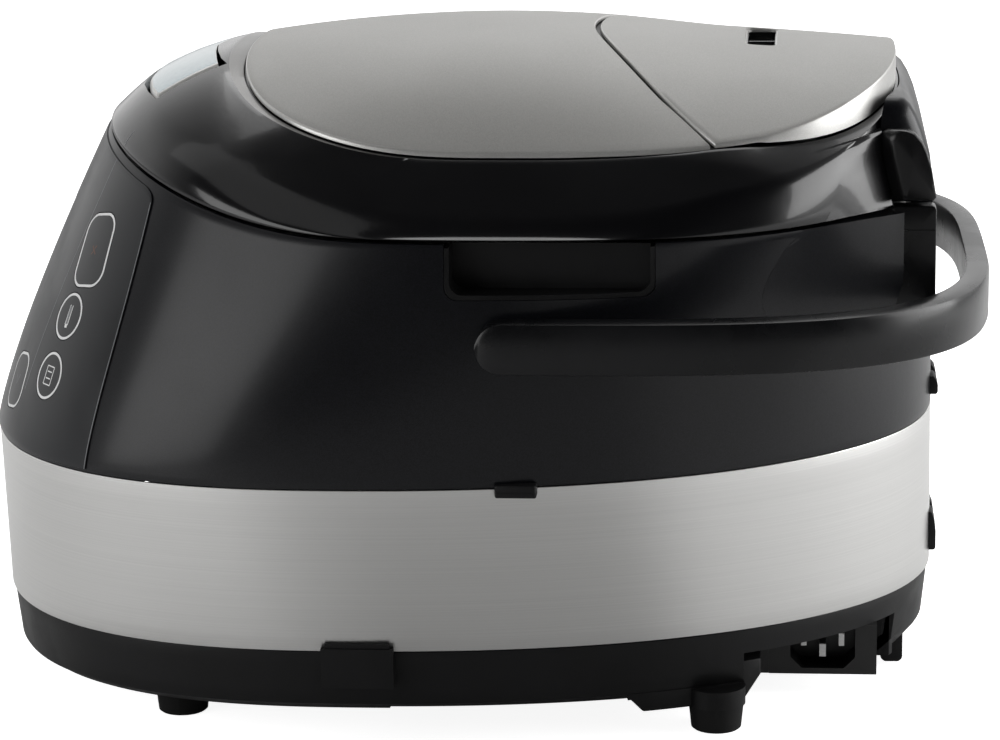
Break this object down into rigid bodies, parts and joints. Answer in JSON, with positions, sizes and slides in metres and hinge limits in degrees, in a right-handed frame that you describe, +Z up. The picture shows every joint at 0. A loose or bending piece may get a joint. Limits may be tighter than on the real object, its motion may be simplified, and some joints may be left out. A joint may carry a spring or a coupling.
{
  "type": "hinged-lid electric multicooker",
  "caption": "Rounded countertop multicooker with a hinged lid, latch button, steam cover, side grips, fold-back bail handle, steel band and a rear appliance inlet.",
  "frame": {"origin": "on the table, under the middle of the plan", "axes": "+Z up, -Y towards the front with the keys, +X towards the side with the appliance inlet"},
  "size_m": [0.307, 0.3766, 0.2446],
  "materials": {
    "base_plastic": "matt black moulded plastic",
    "rubber": "dull black rubber",
    "steel_parts": "plain bright steel",
    "brushed_band": "satin stainless sheet, brushed around the body",
    "housing": "charcoal metallic lacquer with a soft gloss",
    "panel": "charcoal film with a thin light edge line",
    "display": "smoked clear window",
    "board": "green circuit board",
    "keys": "charcoal film with a white printed ring",
    "deck": "dark grey moulded plastic",
    "bare_aluminium": "plain satin aluminium",
    "pot_coating": "dark non-stick coating",
    "inlet_plastic": "black moulded plastic",
    "hinge_plastic": "black plastic, half gloss",
    "handle": "dark grey plastic, satin",
    "lid_gloss": "black lacquer, glossy",
    "silver": "silver metallic lacquer, satin",
    "silicone": "milky silicone",
    "latch_silver": "bluish silver metallic lacquer"
  },
  "bodies": {
    "body": {"base_tub": "base_plastic", "rubber_feet": "rubber", "foot_screws": "steel_parts", "base_lugs": "base_plastic", "steel_band": "brushed_band", "band_clips": "base_plastic", "upper_housing": "housing", "rear_bumpers": "base_plastic", "front_panel": "panel", "display_window": "display", "control_board": "board", "key_switches": "base_plastic", "grip_cup_right": "base_plastic", "grip_cup_left": "base_plastic", "top_deck": "deck", "latch_striker": "steel_parts", "heat_shield": "bare_aluminium", "heating_plate": "bare_aluminium", "sensor_spring": "steel_parts", "inner_pot": "pot_coating", "power_board": "board", "inlet_socket": "inlet_plastic", "inlet_pins": "steel_parts", "hinge_towers": "hinge_plastic", "hinge_pins": "steel_parts", "hinge_springs": "steel_parts", "bail_pivots": "steel_parts"},
    "lid": {"lid_shell": "lid_gloss", "lid_insert": "silver", "lid_rear_cover": "lid_gloss", "lid_hinge_arms": "hinge_plastic", "lid_liner": "deck", "inner_lid_plate": "bare_aluminium", "lid_gasket": "silicone", "valve_tray": "deck", "steam_valve": "deck", "latch_tray": "deck", "latch_spring": "steel_parts"},
    "steam_cover": {"steam_cover": "silver"},
    "latch": {"latch_button": "latch_silver"},
    "hook": {"latch_hook": "base_plastic"},
    "handle": {"bail_handle": "handle"},
    "sensor": {"sensor_plunger": "bare_aluminium"},
    "start_key": {"start_key": "keys"},
    "left_key_top": {"left_key_top": "keys"},
    "right_key_upper": {"right_key_upper": "keys"},
    "left_key_upper": {"left_key_upper": "keys"},
    "right_key_lower": {"right_key_lower": "keys"},
    "left_key_lower": {"left_key_lower": "keys"},
    "centre_key_right": {"centre_key_right": "keys"},
    "centre_key_left": {"centre_key_left": "keys"}
  },
  "joints": [
    {"name": "lid_hinge", "type": "hinge", "parent": "body", "child": "lid", "pos_m": [0, 0.1625, 0.179], "axis": [-1, 0, 0], "range_deg": [0, 85]},
    {"name": "handle_swing", "type": "hinge", "parent": "body", "child": "handle", "pos_m": [0, 0.0167, 0.1512], "axis": [1, 0, 0], "range_deg": [0, 90]},
    {"name": "latch_press", "type": "slide", "parent": "lid", "child": "latch", "axis": [0, -0.4384, 0.8988], "range_m": [-0.0025, 0], "stiffness_N_per_m": 500},
    {"name": "hook_swing", "type": "hinge", "parent": "lid", "child": "hook", "pos_m": [0, -0.126, 0.2095], "axis": [-1, 0, 0], "range_deg": [0, 8]},
    {"name": "steam_cover_lift", "type": "slide", "parent": "lid", "child": "steam_cover", "axis": [0, 0, 1], "range_m": [0, 0.025]},
    {"name": "sensor_press", "type": "slide", "parent": "body", "child": "sensor", "axis": [0, 0, 1], "range_m": [-0.003, 0], "stiffness_N_per_m": 300, "deforming": ["sensor_spring"]},
    {"name": "start_key_press", "type": "slide", "parent": "body", "child": "start_key", "axis": [0.5582, -0.7207, 0.4111], "range_m": [-0.0006, 0], "stiffness_N_per_m": 500},
    {"name": "left_key_top_press", "type": "slide", "parent": "body", "child": "left_key_top", "axis": [-0.5582, -0.7207, 0.4111], "range_m": [-0.0006, 0], "stiffness_N_per_m": 500},
    {"name": "right_key_upper_press", "type": "slide", "parent": "body", "child": "right_key_upper", "axis": [0.5583, -0.7291, 0.3959], "range_m": [-0.0006, 0], "stiffness_N_per_m": 500},
    {"name": "left_key_upper_press", "type": "slide", "parent": "body", "child": "left_key_upper", "axis": [-0.5583, -0.7291, 0.3959], "range_m": [-0.0006, 0], "stiffness_N_per_m": 500},
    {"name": "right_key_lower_press", "type": "slide", "parent": "body", "child": "right_key_lower", "axis": [0.5664, -0.7399, 0.363], "range_m": [-0.0006, 0], "stiffness_N_per_m": 500},
    {"name": "left_key_lower_press", "type": "slide", "parent": "body", "child": "left_key_lower", "axis": [-0.5664, -0.7399, 0.363], "range_m": [-0.0006, 0], "stiffness_N_per_m": 500},
    {"name": "centre_key_right_press", "type": "slide", "parent": "body", "child": "centre_key_right", "axis": [0.3645, -0.8669, 0.34], "range_m": [-0.0006, 0], "stiffness_N_per_m": 500},
    {"name": "centre_key_left_press", "type": "slide", "parent": "body", "child": "centre_key_left", "axis": [-0.3645, -0.8669, 0.34], "range_m": [-0.0006, 0], "stiffness_N_per_m": 500}
  ],
  "couplings": [
    {"joint": "hook_swing", "follows": "latch_press", "rad_per_m": -55}
  ]
}
